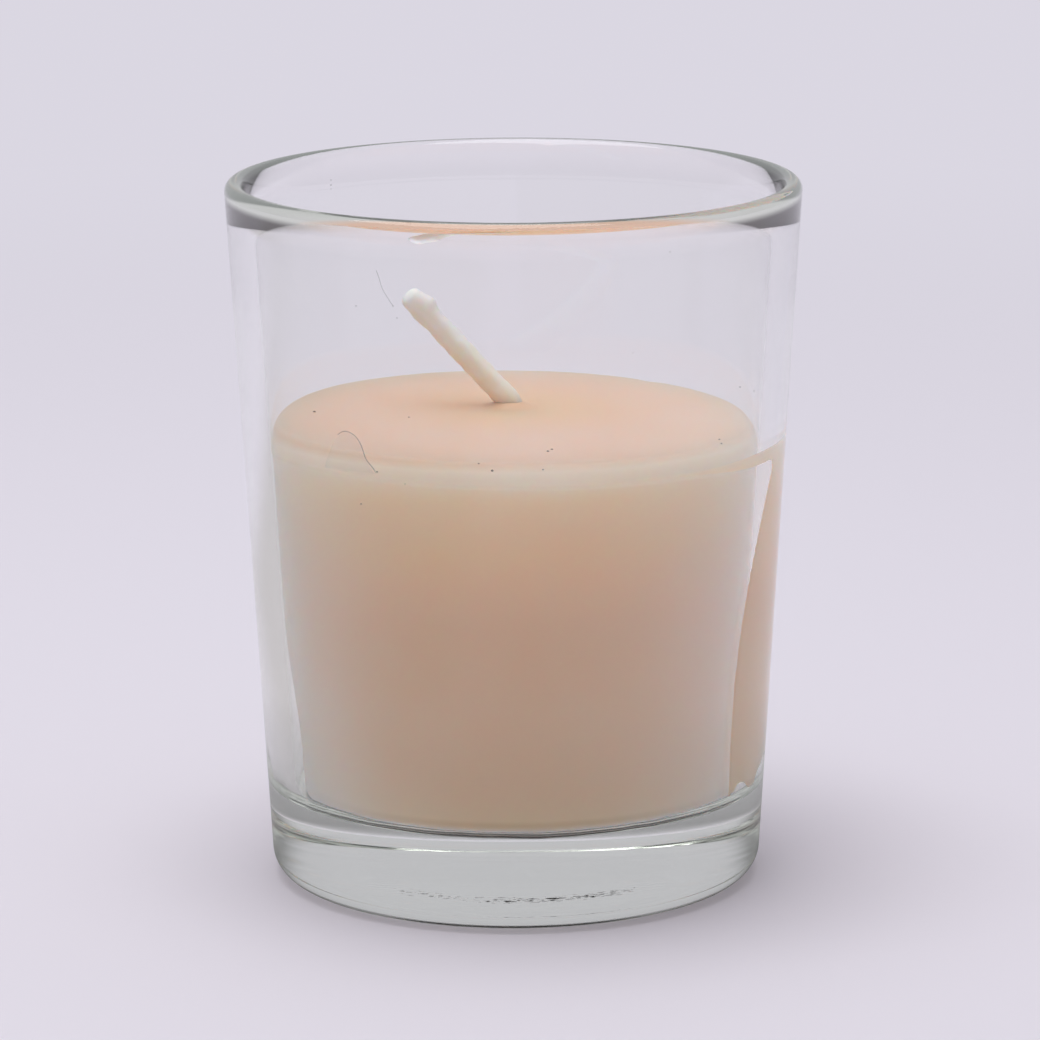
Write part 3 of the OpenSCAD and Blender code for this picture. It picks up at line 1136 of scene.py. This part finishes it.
def pale_floor():
    material, nodes, links, shader = new_material("pale table")
    shader.inputs["Roughness"].default_value = 0.7
    shader.inputs["Specular IOR Level"].default_value = 0.2
    path = nodes.new("ShaderNodeLightPath").outputs
    by_glass = combine(nodes, links, "MAXIMUM", path["Is Transmission Ray"], path["Is Glossy Ray"])
    seen = combine(nodes, links, "MAXIMUM", path["Is Camera Ray"], by_glass)
    unseen = combine(nodes, links, "SUBTRACT", 1, path["Is Camera Ray"])
    place, split = object_place(nodes, links)
    distance = nodes.new("ShaderNodeVectorMath")
    distance.operation = "LENGTH"
    links.new(place, distance.inputs[0])
    from_middle = distance.outputs["Value"]
    # Through the glass the table is dimmer out to the left, but behind the cup it is evenly lit
    behind = share_between(nodes, links, split["Y"], EVEN_FROM_Y, EVEN_TO_Y, smooth=True)
    side_light = tone_along(nodes, links, split["X"], SIDE_LIGHT)
    side_light = mix_colours(nodes, links, behind, side_light, WHITE)
    # Close round the foot it is in the cup's own shade
    near_shade = tone_along(nodes, links, from_middle, FOOT_SHADE)
    shaded = mix_colours(nodes, links, by_glass, side_light, near_shade, "MULTIPLY")
    shaded = mix_colours(nodes, links, unseen, WHITE, shaded)
    # Far out it glows in the background's colour, as the photograph's paper does
    far = share_between(nodes, links, from_middle, STUDIO_NEAR_R, STUDIO_FAR_R, smooth=True)
    glow = nodes.new("ShaderNodeEmission")
    links.new(mix_colours(nodes, links, 1, BACKGROUND, shaded, "MULTIPLY"), glow.inputs["Color"])
    links.new(mix_colours(nodes, links, 1, FLOOR_COLOUR, shaded, "MULTIPLY"), shader.inputs["Base Color"])
    table = mix_shaders(nodes, links, combine(nodes, links, "MULTIPLY", far, seen), shader, glow)
    # From below the floor isn't there, so that the foot can be seen
    side = nodes.new("ShaderNodeNewGeometry")
    away = nodes.new("ShaderNodeBsdfTransparent")
    table = mix_shaders(nodes, links, side.outputs["Backfacing"], table, away)
    links.new(table.outputs[0], nodes["Material Output"].inputs["Surface"])
    return material


def lay_floor():
    rings = [[(0, 0, 0)], circle((0, 0), FLOOR_R / MM, 0, 96)]
    floor = skin("Floor", rings, pale_floor())
    floor.data.flip_normals()
    floor.location.z = -FLOOR_DROP_MM * MM
    return floor


lay_floor()


ROOM_LOW = (0.13, 0.13, 0.135, 1)
ROOM_HIGH = (0.50, 0.50, 0.51, 1)
PAPER = (0.60, 0.59, 0.63, 1)
SOFTBOX_SIDE = 0.8
SOFTBOX_W = 4.9
SOFTBOX_SPOT = (-0.12, -0.08, 0.9)
SOFTBOX_AIM = Vector((0, 0, 0.03))


def light_studio():
    world = bpy.data.worlds.new("Studio")
    world.use_nodes = True
    bpy.context.scene.world = world
    nodes, links = world.node_tree.nodes, world.node_tree.links
    sky = nodes["Background"]
    place = nodes.new("ShaderNodeTexCoord")
    split = nodes.new("ShaderNodeSeparateXYZ")
    links.new(place.outputs["Generated"], split.inputs[0])
    # The room is dim at the height of the table and paler overhead
    height = share_between(nodes, links, split.outputs["Z"], 0.05, 0.75, smooth=True)
    room = mix_colours(nodes, links, height, ROOM_LOW, ROOM_HIGH)
    # Behind the candle the pale paper sweeps up from the table
    behind = share_between(nodes, links, split.outputs["Y"], 0.25, 0.65, smooth=True)
    paper = mix_colours(nodes, links, behind, room, PAPER)
    path = nodes.new("ShaderNodeLightPath")
    seen = mix_colours(nodes, links, path.outputs["Is Camera Ray"], paper, BACKGROUND)
    links.new(seen, sky.inputs["Color"])
    sky.inputs["Strength"].default_value = 1

    softbox = bpy.data.lights.new("Softbox", "AREA")
    softbox.shape = "RECTANGLE"
    softbox.size = SOFTBOX_SIDE
    softbox.size_y = SOFTBOX_SIDE
    softbox.energy = SOFTBOX_W
    lamp = bpy.data.objects.new("Softbox", softbox)
    lamp.location = SOFTBOX_SPOT
    lamp.rotation_euler = (SOFTBOX_AIM - lamp.location).to_track_quat("-Z", "Y").to_euler()
    bpy.context.collection.objects.link(lamp)


light_studio()

# Light that runs down inside the glass wall is thrown back there several times
WALL_BOUNCES = 10
bpy.context.scene.cycles.use_light_tree = False
bpy.context.scene.cycles.diffuse_bounces = 3
bpy.context.scene.cycles.max_bounces = WALL_BOUNCES
bpy.context.scene.cycles.transmission_bounces = WALL_BOUNCES
bpy.context.scene.cycles.glossy_bounces = WALL_BOUNCES
bpy.context.scene.view_settings.view_transform = "Standard"
